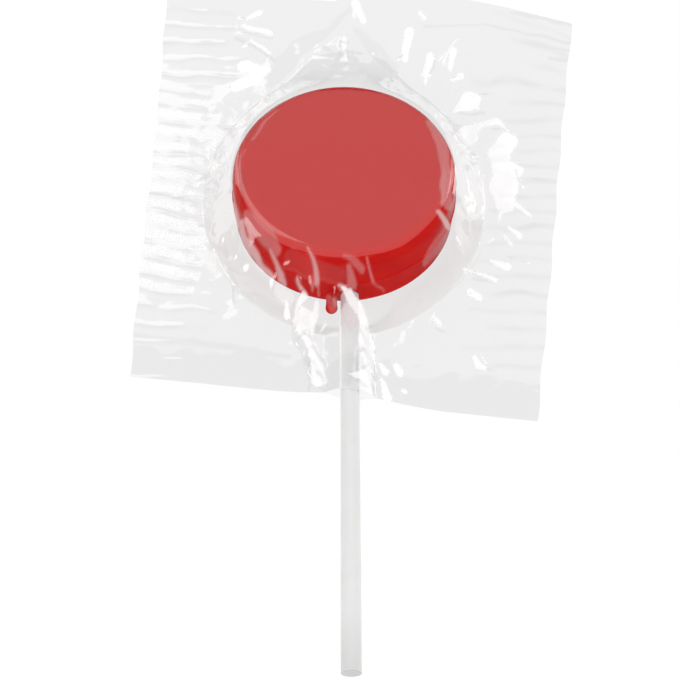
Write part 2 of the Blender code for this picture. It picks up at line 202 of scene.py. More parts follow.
# %% [markdown]
# ## Ground
# The ground is a white sheet that glows like a light table. That keeps it an even white and
# leaves only a breath of shadow. Bent film mirrors the ground as well, and there a bright sheet
# would hide the creases, so reflections see it almost dark on the stick's side of the candy and
# bright behind it. A Light Path node tells the two apart.

# %% Ground
GROUND_REACH = 4.0
GROUND_GLOW = 0.90
GROUND_WHITE = 0.10
MIRRORED_GLOW_FRONT = 0.08
MIRRORED_GLOW_BACK = 0.9
GLOW_TURN = 0.01

ground = new_piece(
    "ground",
    [(-GROUND_REACH, -GROUND_REACH, 0.0), (GROUND_REACH, -GROUND_REACH, 0.0),
     (GROUND_REACH, GROUND_REACH, 0.0), (-GROUND_REACH, GROUND_REACH, 0.0)],
    [(0, 1, 2, 3)],
)
ground_material = bpy.data.materials.new("white_ground")
ground_material.use_nodes = True
ground_tree = ground_material.node_tree
ground_link = ground_tree.links.new
ground_shader = ground_tree.nodes["Principled BSDF"]
ground_shader.inputs["Base Color"].default_value = (GROUND_WHITE, GROUND_WHITE, GROUND_WHITE, 1.0)
ground_shader.inputs["Roughness"].default_value = 1.0
ground_shader.inputs["Specular IOR Level"].default_value = 0.0
ground_shader.inputs["Emission Color"].default_value = (1.0, 1.0, 1.0, 1.0)
ground_place = ground_tree.nodes.new("ShaderNodeTexCoord")
ground_split = ground_tree.nodes.new("ShaderNodeSeparateXYZ")
ground_link(ground_place.outputs["Object"], ground_split.inputs[0])
mirrored = add_node(
    ground_tree, "ShaderNodeMapRange", From_Min=-GLOW_TURN, From_Max=GLOW_TURN,
    To_Min=MIRRORED_GLOW_FRONT, To_Max=MIRRORED_GLOW_BACK,
)
ground_link(ground_split.outputs["Y"], mirrored.inputs["Value"])
glow = add_node(ground_tree, "ShaderNodeMapRange", To_Min=GROUND_GLOW)
ground_link(mirrored.outputs["Result"], glow.inputs["To Max"])
ray = ground_tree.nodes.new("ShaderNodeLightPath")
ground_link(ray.outputs["Is Glossy Ray"], glow.inputs["Value"])
ground_link(glow.outputs["Result"], ground_shader.inputs["Emission Strength"])
ground.data.materials.append(ground_material)
print("ground reaches", GROUND_REACH, "m each way")

# %% [markdown]
# ## Shared surface group
# Candy, stick and film all have fine unevenness, at different scales. One node group gives it:
# a soft mottle for colour and gloss, and a height for a Bump node. Each material places the
# group with its own scale.

# %% Node group for fine unevenness
def make_unevenness():
    """The group: Scale in, Mottle (0 to 1) and Height out."""
    group = bpy.data.node_groups.new("fine_unevenness", "ShaderNodeTree")
    scale = group.interface.new_socket("Scale", in_out="INPUT", socket_type="NodeSocketFloat")
    scale.default_value = 1000.0
    group.interface.new_socket("Mottle", in_out="OUTPUT", socket_type="NodeSocketFloat")
    group.interface.new_socket("Height", in_out="OUTPUT", socket_type="NodeSocketFloat")
    given = group.nodes.new("NodeGroupInput")
    result = group.nodes.new("NodeGroupOutput")
    place = group.nodes.new("ShaderNodeTexCoord")
    broad = add_node(group, "ShaderNodeTexNoise", Detail=3.0, Roughness=0.55)
    fine = add_node(group, "ShaderNodeTexNoise", Detail=2.0, Roughness=0.5)
    finer = add_math(group, "MULTIPLY", given.outputs["Scale"], 4.0)
    spread = add_node(group, "ShaderNodeMapRange", From_Min=0.3, From_Max=0.7)
    link = group.links.new
    link(given.outputs["Scale"], broad.inputs["Scale"])
    link(finer, fine.inputs["Scale"])
    link(place.outputs["Object"], broad.inputs["Vector"])
    link(place.outputs["Object"], fine.inputs["Vector"])
    link(broad.outputs["Fac"], spread.inputs["Value"])
    link(spread.outputs["Result"], result.inputs["Mottle"])
    link(fine.outputs["Fac"], result.inputs["Height"])
    return group


unevenness = make_unevenness()


def place_unevenness(tree, scale):
    """The group as a node in a material, at this scale."""
    node = tree.nodes.new("ShaderNodeGroup")
    node.node_tree = unevenness
    node.inputs["Scale"].default_value = scale
    return node


def add_bump(tree, height, distance, strength):
    """A Bump node fed by a height output."""
    bump = add_node(tree, "ShaderNodeBump", Distance=distance, Strength=strength)
    tree.links.new(height, bump.inputs["Height"])
    return bump


def ramp_between(tree, value, low, high):
    """Maps a 0 to 1 value onto low to high."""
    spread = add_node(tree, "ShaderNodeMapRange", To_Min=low, To_Max=high)
    tree.links.new(value, spread.inputs["Value"])
    return spread.outputs["Result"]


def lay_over(tree, share, under, over):
    """A plain colour laid over another one, or over a colour output, by a share from 0 to 1."""
    mix = tree.nodes.new("ShaderNodeMix")
    mix.data_type = "RGBA"
    lower, upper = [socket for socket in mix.inputs if socket.type == "RGBA"]
    upper.default_value = (*over, 1.0)
    if isinstance(under, tuple):
        lower.default_value = (*under, 1.0)
    else:
        tree.links.new(under, lower)
    tree.links.new(share, mix.inputs[0])
    return [socket for socket in mix.outputs if socket.type == "RGBA"][0]


print("group sockets:", [item.name for item in unevenness.interface.items_tree])

# %% [markdown]
# ## Candy
# A pressed boiled sweet is two shallow moulds' worth of sugar: a flat face, a rounded shoulder,
# a straight-ish side and a thin rib where the moulds met. It could be sculpted, but a turned
# outline gives the exact form, and a little waviness added to its points takes away the
# machine-made look. The face is plain, with a faint dome.

# %% Candy outline
FACE_RADIUS = 16.8 * MM
FACE_RISE = 6.8 * MM
FACE_DOME = 0.12 * MM
FACE_ROUND = (2.1 * MM, 3.0 * MM)
BACK_RADIUS = 17.5 * MM
BACK_ROUND = (1.4 * MM, 1.7 * MM)
SIDE_RADIUS = 19.0 * MM
RIB_WIDTH = 0.62 * MM
ROUND_STEPS = 14
SPIN_STEPS = 288


def quarter(start, end, leaves_flat):
    """Points of a quarter ellipse after start, up to end, as (r, z) pairs."""
    turns = np.linspace(0, math.pi / 2, ROUND_STEPS + 1)[1:]
    across, along = np.sin(turns), 1 - np.cos(turns)
    if not leaves_flat:
        across, along = along, across
    width, rise = end[0] - start[0], end[1] - start[1]
    return [(start[0] + width * a, start[1] + rise * b) for a, b in zip(across, along)]


def rib_points():
    """The mould rib: a low round bead round the rim."""
    proud = rim_radius - SIDE_RADIUS
    turns = np.linspace(-math.pi, math.pi, 13)
    half = RIB_WIDTH / 2
    return [(SIDE_RADIUS + proud * (1 + math.cos(t)) / 2, seam_z - half * t / math.pi) for t in turns]


def candy_outline():
    """The turned side from the face's centre to the back's centre."""
    face_z, back_z = seam_z + FACE_RISE, seam_z - BACK_DROP
    shares = np.linspace(0, 1, 16)[:-1]
    points = [(FACE_RADIUS * s, face_z + FACE_DOME * (1 - s * s)) for s in shares]
    edge, side = (FACE_RADIUS, face_z), (FACE_RADIUS + FACE_ROUND[0], face_z - FACE_ROUND[1])
    points += [edge] + quarter(edge, side, leaves_flat=True)
    low_side, back = (BACK_RADIUS + BACK_ROUND[0], back_z + BACK_ROUND[1]), (BACK_RADIUS, back_z)
    points += rib_points() + [low_side] + quarter(low_side, back, leaves_flat=False)
    points += [(BACK_RADIUS * s, back_z) for s in shares[::-2]]
    return points


outline = candy_outline()
print("candy outline has", len(outline), "points, widest", round(max(p[0] for p in outline), 5))

# %% [markdown]
# The outline is turned round the candy's axis into rings of points, and the points of the side
# get the waviness. Joining and cutting of solids come later, with Boolean modifiers that are
# applied at once.

# %% Candy mesh
WAVE_DEPTH = 0.05 * MM
DRIP_X = -2.1 * MM
DRIP_RADIUS = 1.0 * MM
DRIP_TIP_Y = -22.25 * MM
DRIP_ROOT_Y = -16.0 * MM
SOCKET_CLEAR = 0.05 * MM
SOCKET_END_Y = -3.0 * MM
SOCKET_LENGTH = 30.0 * MM


def waves(x, y, length, seed, count=9):
    """Smooth noise from plane waves of about this length, between about -1 and 1."""
    draw = np.random.default_rng(seed)
    total = np.zeros_like(x)
    for _ in range(count):
        heading = draw.uniform(0, math.tau)
        phase = draw.uniform(0, math.tau)
        step = math.tau / (length * draw.uniform(0.7, 1.5))
        total += np.sin(step * (x * math.cos(heading) + y * math.sin(heading)) + phase)
    return total / math.sqrt(count)


def spin(name, profile, steps):
    """A closed solid turned about Z from a profile that starts and ends on the axis."""
    angles = np.arange(steps) * math.tau / steps
    rings = profile[1:-1]
    vertices = [(0.0, 0.0, profile[0][1])]
    vertices += [(r * math.cos(a), r * math.sin(a), z) for r, z in rings for a in angles]
    vertices.append((0.0, 0.0, profile[-1][1]))
    last = len(vertices) - 1
    faces = []
    for ring in range(len(rings) - 1):
        for i in range(steps):
            a = 1 + ring * steps + i
            b = 1 + ring * steps + (i + 1) % steps
            faces.append((a, a + steps, b + steps, b))
    piece = new_piece(name, vertices, faces)
    shape = bmesh.new()
    shape.from_mesh(piece.data)
    shape.verts.ensure_lookup_table()
    for i in range(steps):
        j = (i + 1) % steps
        shape.faces.new((shape.verts[0], shape.verts[1 + i], shape.verts[1 + j]))
        low = last - steps
        shape.faces.new((shape.verts[last], shape.verts[low + j], shape.verts[low + i]))
    bmesh.ops.recalc_face_normals(shape, faces=shape.faces)
    shape.to_mesh(piece.data)
    shape.free()
    piece.data.shade_smooth()
    return piece


def apply_modifiers(piece):
    """Turns the piece's modifiers into its mesh."""
    graph = bpy.context.evaluated_depsgraph_get()
    mesh = bpy.data.meshes.new_from_object(piece.evaluated_get(graph))
    piece.modifiers.clear()
    piece.data = mesh


def join_or_cut(piece, other, operation):
    """Adds or cuts away another solid, which is then removed."""
    modifier = piece.modifiers.new(operation.title(), "BOOLEAN")
    modifier.operation = operation
    modifier.object = other
    modifier.solver = "EXACT"
    apply_modifiers(piece)
    bpy.data.objects.remove(other, do_unlink=True)


candy = spin("candy_disc", outline, SPIN_STEPS)
for vertex in candy.data.vertices:
    x, y, z = vertex.co
    radius = math.hypot(x, y)
    if radius > 0:
        side = min(1.0, radius / SIDE_RADIUS) ** 4
        push = float(waves(np.array([x + z]), np.array([y - z]), 7 * MM, 3)[0]) * WAVE_DEPTH * side / 2
        vertex.co.x -= x / radius * abs(push)
        vertex.co.y -= y / radius * abs(push)
print("turned candy:", len(candy.data.vertices), "points")

# %% [markdown]
# The drip is a small rounded peg that widens at its root. It is joined to the candy's side at
# the stick's height. The socket is a plain round hole, a hair wider than the stick.

# %% Drip and socket
DRIP_OUTLINE_STEPS = 10
drip_length = DRIP_ROOT_Y - DRIP_TIP_Y
drip_outline = [(0.0, drip_length)]
drip_outline += quarter((0.0, drip_length), (DRIP_RADIUS, drip_length - DRIP_RADIUS), leaves_flat=True)
for step in range(1, DRIP_OUTLINE_STEPS + 1):
    share = step / DRIP_OUTLINE_STEPS
    waist = 1 - 0.1 * math.sin(math.pi * min(1.0, share * 2)) + 0.7 * max(0.0, share - 0.5) ** 2
    drip_outline.append((DRIP_RADIUS * waist, (drip_length - DRIP_RADIUS) * (1 - share)))
drip_outline.append((0.0, 0.0))
drip = spin("drip", drip_outline, 48)
drip.rotation_euler = (math.pi / 2, 0.0, 0.0)
drip.location = (DRIP_X, DRIP_ROOT_Y, stick_z)
bpy.context.view_layer.update()
join_or_cut(candy, drip, "UNION")
socket_radius = stick_radius + SOCKET_CLEAR
socket_outline = [(0.0, 0.0), (socket_radius, 0.0), (socket_radius, -SOCKET_LENGTH), (0.0, -SOCKET_LENGTH)]
socket = spin("socket", socket_outline, 96)
socket.rotation_euler = (-math.pi / 2, 0.0, 0.0)
socket.location = (stick_x, SOCKET_END_Y, stick_z)
bpy.context.view_layer.update()
socket_box = [socket.matrix_world @ Vector(socket.bound_box[corner]) for corner in (0, 6)]
print("socket box", [tuple(round(v, 4) for v in corner) for corner in socket_box])
join_or_cut(candy, socket, "DIFFERENCE")
candy.data.shade_smooth()
candy.data.set_sharp_from_angle(angle=math.radians(50))
print("candy with drip and socket:", len(candy.data.vertices), "points")

# %% [markdown]
# Boiled sugar lets light in and gives it back a deeper red, so the material has a little
# subsurface scattering under a smooth coat. The flat face is a plain, slightly paler red without
# the colour mottle, by a mask that reads the height over the floor.

# %% Candy material
CANDY_RED = (0.62, 0.006, 0.003)
CANDY_DEEP = (0.54, 0.004, 0.002)
FACE_RED = (0.62, 0.006, 0.001)
FACE_MASK_DEPTH = 1.0 * MM
CANDY_MOTTLE = 260.0
CANDY_ROUGHNESS = (0.12, 0.24)


def make_candy_material():
    """Glossy translucent red sugar."""
    material = bpy.data.materials.new("red_candy")
    material.use_nodes = True
    tree = material.node_tree
    shader = tree.nodes["Principled BSDF"]
    uneven = place_unevenness(tree, CANDY_MOTTLE)
    body = lay_over(tree, uneven.outputs["Mottle"], CANDY_DEEP, CANDY_RED)
    place = tree.nodes.new("ShaderNodeNewGeometry")
    split = tree.nodes.new("ShaderNodeSeparateXYZ")
    tree.links.new(place.outputs["Position"], split.inputs[0])
    face_z = seam_z + FACE_RISE
    on_face = add_node(tree, "ShaderNodeMapRange", From_Min=face_z - FACE_MASK_DEPTH, From_Max=face_z)
    tree.links.new(split.outputs["Z"], on_face.inputs["Value"])
    face_colour = lay_over(tree, on_face.outputs["Result"], body, FACE_RED)
    tree.links.new(face_colour, shader.inputs["Base Color"])
    roughness = ramp_between(tree, uneven.outputs["Mottle"], *CANDY_ROUGHNESS)
    tree.links.new(roughness, shader.inputs["Roughness"])
    bump = add_bump(tree, uneven.outputs["Height"], 0.004 * MM, 0.3)
    tree.links.new(bump.outputs["Normal"], shader.inputs["Normal"])
    shader.inputs["Subsurface Weight"].default_value = 0.25
    shader.inputs["Subsurface Radius"].default_value = (1.0, 0.12, 0.08)
    shader.inputs["Subsurface Scale"].default_value = 2.5 * MM
    shader.inputs["IOR"].default_value = 1.5
    shader.inputs["Specular IOR Level"].default_value = 0.16
    shader.inputs["Coat Weight"].default_value = 0.05
    shader.inputs["Coat Roughness"].default_value = 0.06
    return material


dress(candy, "candy", make_candy_material())

# %% [markdown]
# ## Stick
# A lollipop stick is a plain rod, cut square. The real one isn't quite straight or round to the
# eye and has faint lines along it. Its cut end is a little rough and carries painted shade, as it faces
# away from the light.

# %% Stick mesh
STICK_SIDES = 96
STICK_RINGS = 120
EDGE_ROUND = 0.12 * MM
END_DISH = 0.05 * MM


def stick_outline():
    """Radius and distance from the buried end, from the tip's centre to the far end's centre."""
    length = stick_high.y - stick_low.y
    inner = stick_radius - EDGE_ROUND
    points = [(0.0, 0.0), (inner, 0.0)]
    points += quarter((inner, 0.0), (stick_radius, -EDGE_ROUND), leaves_flat=True)
    steps = np.linspace(0, 1, STICK_RINGS)[1:-1]
    points += [(stick_radius, -EDGE_ROUND - (length - 2 * EDGE_ROUND) * s) for s in steps]
    points.append((stick_radius, -length + EDGE_ROUND))
    points += quarter((stick_radius, -length + EDGE_ROUND), (inner, -length), leaves_flat=False)
    points += [(inner * s, -length + END_DISH * (1 - s * s)) for s in (0.85, 0.6, 0.3, 0.0)]
    return points


stick = spin("stick_rod", stick_outline(), STICK_SIDES)
for vertex in stick.data.vertices:
    vertex.co = (stick_x + vertex.co.x, stick_high.y + vertex.co.z, stick_z - vertex.co.y)
stick.data.flip_normals()
print("stick runs from", round(stick_high.y, 4), "to", round(stick_low.y, 4))

# %% [markdown]
# The plastic has a faint sheen, which lightens its sides. Its last few millimetres are a greyer
# white, and the very cut is darker still, as painted shade.

# %% Stick material
STICK_WHITE = (0.72, 0.72, 0.715)
STICK_SHADE = (0.70, 0.70, 0.695)
STICK_SHEEN = 0.8
STICK_SHEEN_ROUGHNESS = 0.5
STICK_END_GREY = (0.60, 0.60, 0.595)
END_GREY_LENGTH = 9.0 * MM
# painted shade for the cut end
CUT_END_SHADE = (0.44, 0.44, 0.435)
CUT_DEPTH = 0.12 * MM
STICK_MOTTLE = 400.0
STICK_ROUGHNESS = (0.38, 0.52)
LINE_SCALE = 3500.0
LINE_STRETCH = 0.02


def make_stick_material():
    """Satin white with faint lines along its length."""
    material = bpy.data.materials.new("white_stick")
    material.use_nodes = True
    tree = material.node_tree
    shader = tree.nodes["Principled BSDF"]
    place = tree.nodes.new("ShaderNodeTexCoord")
    stretch = tree.nodes.new("ShaderNodeMapping")
    stretch.inputs["Scale"].default_value = (1.0, LINE_STRETCH, 1.0)
    lines = add_node(tree, "ShaderNodeTexNoise", Scale=LINE_SCALE, Detail=2.0)
    tree.links.new(place.outputs["Object"], stretch.inputs["Vector"])
    tree.links.new(stretch.outputs["Vector"], lines.inputs["Vector"])
    uneven = place_unevenness(tree, STICK_MOTTLE)
    colour = lay_over(tree, uneven.outputs["Mottle"], STICK_SHADE, STICK_WHITE)
    split = tree.nodes.new("ShaderNodeSeparateXYZ")
    tree.links.new(place.outputs["Object"], split.inputs[0])
    end = stick_low.y
    at_cut = add_node(tree, "ShaderNodeMapRange", From_Min=end + CUT_DEPTH, From_Max=end + CUT_DEPTH / 2)
    tree.links.new(split.outputs["Y"], at_cut.inputs["Value"])
    toward_end = add_node(tree, "ShaderNodeMapRange", From_Min=end + END_GREY_LENGTH, From_Max=end)
    tree.links.new(split.outputs["Y"], toward_end.inputs["Value"])
    colour = lay_over(tree, toward_end.outputs["Result"], colour, STICK_END_GREY)
    # painted shade on the cut end, which faces away from the light
    colour = lay_over(tree, at_cut.outputs["Result"], colour, CUT_END_SHADE)
    tree.links.new(colour, shader.inputs["Base Color"])
    roughness = ramp_between(tree, uneven.outputs["Mottle"], *STICK_ROUGHNESS)
    tree.links.new(roughness, shader.inputs["Roughness"])
    bump = add_bump(tree, lines.outputs["Fac"], 0.01 * MM, 0.3)
    tree.links.new(bump.outputs["Normal"], shader.inputs["Normal"])
    shader.inputs["Sheen Weight"].default_value = STICK_SHEEN
    shader.inputs["Sheen Roughness"].default_value = STICK_SHEEN_ROUGHNESS
    shader.inputs["Subsurface Weight"].default_value = 0.1
    shader.inputs["Subsurface Scale"].default_value = 0.4 * MM
    return material


dress(stick, "stick", make_stick_material())

# %% [markdown]
# ## Wrapper
# The wrapper is one web of clear film, folded over at the top, crimped along both sides and
# drawn in round the stick. Two sheets of fine mesh do it, front and back, each a height over
# the floor. First comes the film's outline: four corners, a bowed upper edge with a small step,
# and slightly wavy sides.

# %% Film outline
CORNER_BOTTOM_LEFT = (-34.7 * MM, -33.2 * MM)
CORNER_BOTTOM_RIGHT = (30.8 * MM, -41.0 * MM)
CORNER_TOP_RIGHT = (41.4 * MM, 34.1 * MM)
CORNER_TOP_LEFT = (-32.2 * MM, 39.3 * MM)
TOP_BOW = 2.7 * MM
TOP_BOW_START = 0.7
TOP_BOW_LEAN = 0.9
TOP_STEP = 0.435
TOP_STEP_WIDTH = 0.02
TOP_STEP_TURN = 0.2
EDGE_WAVE = 0.15 * MM
EDGE_WAVE_TURNS = 6.5
EDGE_WAVE_POWER = 6


def ease(value):
    """A smooth step from 0 at 0 to 1 at 1."""
    t = np.clip(value, 0.0, 1.0)
    return t * t * (3 - 2 * t)


def film_place(across, up):
    """The point at these shares of the film's width and height."""
    lower = [a + (b - a) * across for a, b in zip(CORNER_BOTTOM_LEFT, CORNER_BOTTOM_RIGHT)]
    upper = [a + (b - a) * across for a, b in zip(CORNER_TOP_LEFT, CORNER_TOP_RIGHT)]
    past_step = np.clip((across - TOP_STEP) / (1 - TOP_STEP), 0, 1) ** TOP_BOW_LEAN
    bow = TOP_BOW * np.sin(math.pi * (TOP_STEP_TURN + (1 - TOP_STEP_TURN) * past_step))
    bow *= ease((across - TOP_STEP + TOP_STEP_WIDTH) / TOP_STEP_WIDTH)
    bow *= ease((up - TOP_BOW_START) / (1 - TOP_BOW_START))
    wave = EDGE_WAVE * np.sin(math.tau * EDGE_WAVE_TURNS * up) * np.abs(2 * across - 1) ** EDGE_WAVE_POWER
    return lower[0] + (upper[0] - lower[0]) * up + wave, lower[1] + (upper[1] - lower[1]) * up + bow


def film_grid(columns, rows):
    """Shares and places of a grid of points over the film."""
    across, up = np.meshgrid(np.linspace(0, 1, columns + 1), np.linspace(0, 1, rows + 1))
    x, y = film_place(across, up)
    return across, up, x, y


print("film's lower right corner:", [round(v / MM, 1) for v in CORNER_BOTTOM_RIGHT], "mm")

# %% [markdown]
# Both sheets follow one surface where they are pressed together. It lies at the seam's height
# beside the candy, curls up behind it, droops towards the stick's side and rises to the stick.

# %% Pressed film
RISE_SLOPE = 0.05
RISE_CURL = 4.2
DROOP_CURL = 2.75
SIDE_DROOP = 0.9
STICK_HUMP_WIDTH = 8.0 * MM
STICK_HUMP_START = 17.0 * MM
STICK_HUMP_FULL = 27.0 * MM
LOWEST_FILM = 0.62 * MM


def pressed_height(x, y):
    """The film droops towards the stick's side and curls up behind."""
    curl = np.where(y > 0, RISE_CURL, -DROOP_CURL)
    height = seam_z + RISE_SLOPE * y + curl * y * y - SIDE_DROOP * x * x
    near_stick = np.exp(-(((x - stick_x) / STICK_HUMP_WIDTH) ** 2))
    near_stick = near_stick * ease((-y - STICK_HUMP_START) / (STICK_HUMP_FULL - STICK_HUMP_START))
    height = height + (stick_z - height) * near_stick
    return np.maximum(height, LOWEST_FILM)


print("pressed film at the candy's axis:", round(float(pressed_height(0.0, 0.0)) / MM, 2), "mm")

# %% [markdown]
# The two sheets part along a line round the candy, which makes its pocket. The line runs wide on
# the stick's side and has a peak behind, where the film was folded over.

# %% Pocket outline
TENT_RADIUS = 23.6 * MM
TENT_LOW_SIDE = 3.2 * MM
TENT_LOW_SPREAD = 1.1
TENT_PEAK = 7.5 * MM
TENT_PEAK_ANGLE = math.radians(88)
TENT_PEAK_WIDTH = math.radians(17)


def turn_between(angle, other):
    """The signed turn from other to angle, between half a turn either way."""
    return (angle - other + math.pi) % math.tau - math.pi


def tent_radius(angle):
    """How far from the candy's axis the two sheets part."""
    low_side = np.exp(-((turn_between(angle, -math.pi / 2) / TENT_LOW_SPREAD) ** 2))
    peak = np.exp(-((turn_between(angle, TENT_PEAK_ANGLE) / TENT_PEAK_WIDTH) ** 2))
    return TENT_RADIUS + TENT_LOW_SIDE * low_side + TENT_PEAK * peak


def past_tent(x, y):
    """How far outside that line a point is."""
    return np.hypot(x, y) - tent_radius(np.arctan2(y, x))


print("pocket's half width:", round(float(tent_radius(0.0)) / MM, 1), "mm")

# %% [markdown]
# Crimping jaws press rows of thin ridges into the film's side bands. Each ridge reaches inwards
# as far as the crumpled film let the jaws bite, so its length is drawn at random, and the rows
# fan a little, where the film was pulled askew: all along the right side, and in the middle of
# the left one.

# %% Crimped bands
CRIMP_COUNT = 24
CRIMP_DEPTH = 0.13 * MM
CRIMP_SHARPNESS = 7
CRIMP_LENGTHS = {"left": (0.10, 0.18), "right": (0.05, 0.19)}
CRIMP_FADE = 0.05
CRIMP_CLEAR = 2.0 * MM
CRIMP_FAN = 0.11
CRIMP_TOP_FAN = 0.24
CRIMP_TOP_FROM = 0.78
CRIMP_TOP_FADE = 0.15
CRIMP_LEFT_FAN = 0.13
CRIMP_LEFT_FROM = 0.14
CRIMP_LEFT_TO = 0.60


def crimp_phase(across, up, x, y):
    """The number of the ridge at each point, with a fraction between two ridges."""
    fan = CRIMP_FAN - CRIMP_TOP_FAN * ease((up - CRIMP_TOP_FROM) / CRIMP_TOP_FADE)
    left_fan = CRIMP_LEFT_FAN * ease((up - CRIMP_LEFT_FROM) / 0.12)
    left_fan *= 1 - ease((up - CRIMP_LEFT_TO) / 0.25)
    along = up + np.where(across > 0.5, fan * (1 - across), left_fan * across)
    return CRIMP_COUNT * along + 0.09 * waves(x, y, 9 * MM, 23)


def crimp_lines(across, up, x, y):
    """How strongly each point lies on a crimp ridge, from 0 to 1, and the crimp's own strength."""
    draw = np.random.default_rng(31)
    phase = crimp_phase(across, up, x, y)
    line = np.clip(np.round(phase).astype(int), 0, CRIMP_COUNT)
    strength = np.zeros_like(x)
    for side, inward in (("left", across), ("right", 1 - across)):
        lengths = draw.uniform(*CRIMP_LENGTHS[side], CRIMP_COUNT + 1)
        powers = draw.uniform(0.45, 1.0, CRIMP_COUNT + 1)
        reach = lengths[line] + 0.015 * waves(x, y, 5 * MM, 24)
        strength += powers[line] * (1 - ease((inward - reach) / CRIMP_FADE))
    strength *= ease(past_tent(x, y) / CRIMP_CLEAR) * np.clip(0.8 + 0.3 * waves(x, y, 7 * MM, 22), 0.2, 1.2)
    crest = np.abs(np.cos(math.pi * phase)) ** CRIMP_SHARPNESS
    return crest * strength, strength


print("crimp rows:", CRIMP_COUNT)

# %% [markdown]
# Crumpled film is made of flat facets that meet in sharp creases. A sum of zigzag waves in
# several directions gives just that: flat cells with straight borders. Larger folds are listed
# one by one as ridges with straight slopes, as a packer's hand would leave them. All of them are
# read at slightly displaced places, which makes their borders ragged.

# %% Creases
WARP_DEPTH = 0.42 * MM
WARP_LENGTH = 4.0 * MM


def warped(x, y, seed):
    """The places moved a little by smooth noise."""
    aside = WARP_DEPTH * waves(x, y, WARP_LENGTH, seed)
    along = WARP_DEPTH * waves(x, y, WARP_LENGTH, seed + 1)
    return x + aside, y + along


def facets(x, y, length, seed, count=6):
    """A surface of flat cells whose slopes are about 1, from zigzag waves of about this length."""
    draw = np.random.default_rng(seed)
    total = np.zeros_like(x)
    for _ in range(count):
        heading, phase = draw.uniform(0, math.tau, 2)
        span = length * draw.uniform(0.7, 1.7)
        turn = math.tau / span * (x * math.cos(heading) + y * math.sin(heading)) + phase
        total += span / math.tau * np.arcsin(np.sin(turn))
    return total / math.sqrt(count)


def ridge(x, y, start, end, left, right, height):
    """A straight fold: height on its line, falling in straight slopes to both sides."""
    dx, dy = end[0] - start[0], end[1] - start[1]
    length = math.hypot(dx, dy)
    along = ((x - start[0]) * dx + (y - start[1]) * dy) / length
    aside = ((y - start[1]) * dx - (x - start[0]) * dy) / length
    slope = np.where(aside > 0, 1 - aside / left, 1 + aside / right)
    taper = min(left, right, length / 2)
    ends = np.clip(np.minimum(along, length - along) / taper, 0, 1)
    return height * np.clip(slope, 0, 1) * ends


HAND_FOLDS = (
    # start, end, width on the left, width on the right, height, all in millimetres
    ((30.0, 12.5), (29.2, -7.5), 2.2, 4.6, 0.3),
    ((24.5, 21.5), (24.0, 15.5), 5.0, 1.6, 0.3),
    ((25.6, 14.5), (18.8, 4.6), 2.6, 1.8, 0.3),
    ((-13.2, 25.5), (-14.2, 18.0), 1.6, 5.0, 0.3),
    ((-19.5, 34.0), (-12.4, 31.0), 1.0, 1.2, 0.35),
    ((-19.0, 31.6), (-13.2, 29.0), 1.0, 1.2, 0.3),
    ((-18.0, 29.2), (-14.0, 26.6), 0.9, 1.1, 0.25),
    ((2.2, 36.9), (3.2, 32.6), 0.9, 1.4, 0.28),
    ((-0.3, 30.6), (0.6, 24.6), 0.5, 0.7, 0.25),
    ((10.4, 25.0), (12.2, 32.4), 0.7, 1.2, 0.28),
    ((14.2, 21.8), (16.0, 27.2), 0.9, 1.3, 0.3),
    ((18.0, 24.2), (19.8, 28.8), 0.7, 1.1, 0.28),
    ((19.0, 21.8), (21.2, 23.6), 0.8, 1.6, 0.3),
    ((-25.6, 7.0), (-17.2, 10.8), 1.8, 2.2, 0.3),
    ((-26.2, 1.6), (-20.8, 3.4), 1.5, 1.8, 0.35),
    ((26.6, -11.6), (30.8, -15.0), 0.8, 1.2, 0.3),
    ((19.6, -15.4), (26.4, -17.6), 0.7, 0.9, 0.35),
    ((20.4, -18.8), (22.6, -21.0), 0.8, 1.0, 0.3),
    ((14.4, -23.0), (16.2, -26.2), 0.8, 1.0, 0.3),
    ((21.2, -29.4), (24.2, -32.8), 0.6, 0.9, 0.28),
    ((-19.4, -14.2), (-17.4, -21.4), 0.9, 0.7, 0.3),
    ((-22.4, -8.6), (-21.6, -14.6), 1.4, 1.2, 0.3),
    ((-16.4, -15.8), (-14.8, -22.0), 0.7, 0.7, 0.25),
)


def hand_folds(x, y):
    """All the listed folds."""
    total = np.zeros_like(x)
    for start, end, left, right, height in HAND_FOLDS:
        ends = [(point[0] * MM, point[1] * MM) for point in (start, end)]
        total += ridge(x, y, *ends, left * MM, right * MM, height * MM)
    return total


print("folds by hand:", len(HAND_FOLDS))

# %% [markdown]
# Between the large folds run many small ones, drawn at random from a fixed seed, most of them
# away from the candy. With the flat cells they make up the crumple, which is strong in a ring
# round the pocket and calm elsewhere.

# %% Random creases
RANDOM_FOLDS = 110
FOLD_RING = (20.0 * MM, 30.0 * MM)
FOLD_HEIGHTS = (-0.20 * MM, 0.28 * MM)
BROAD_SLOPE = 0.075
FINE_SLOPE = 0.045
CALM_SLOPE = 0.018
BROAD_CELLS = 7.0 * MM
FINE_CELLS = 2.4 * MM
CRUMPLE_RADIUS = 25.0 * MM
CRUMPLE_SPREAD = 5.0 * MM


def random_folds(x, y, seed):
    """Small folds round the pocket, most of them running away from the candy."""
    draw = np.random.default_rng(seed)
    total = np.zeros_like(x)
    for _ in range(RANDOM_FOLDS):
        angle = draw.uniform(0, math.tau)
        radius = draw.uniform(*FOLD_RING)
        length = draw.uniform(2.5, 8.0) * MM
        heading = angle + draw.normal(0, 0.55)
        centre = (radius * math.cos(angle), radius * math.sin(angle))
        half = (length / 2 * math.cos(heading), length / 2 * math.sin(heading))
        ends = [(centre[0] - half[0], centre[1] - half[1]), (centre[0] + half[0], centre[1] + half[1])]
        widths = draw.uniform(0.6, 2.2, 2) * MM
        total += ridge(x, y, *ends, *widths, draw.uniform(*FOLD_HEIGHTS))
    return total


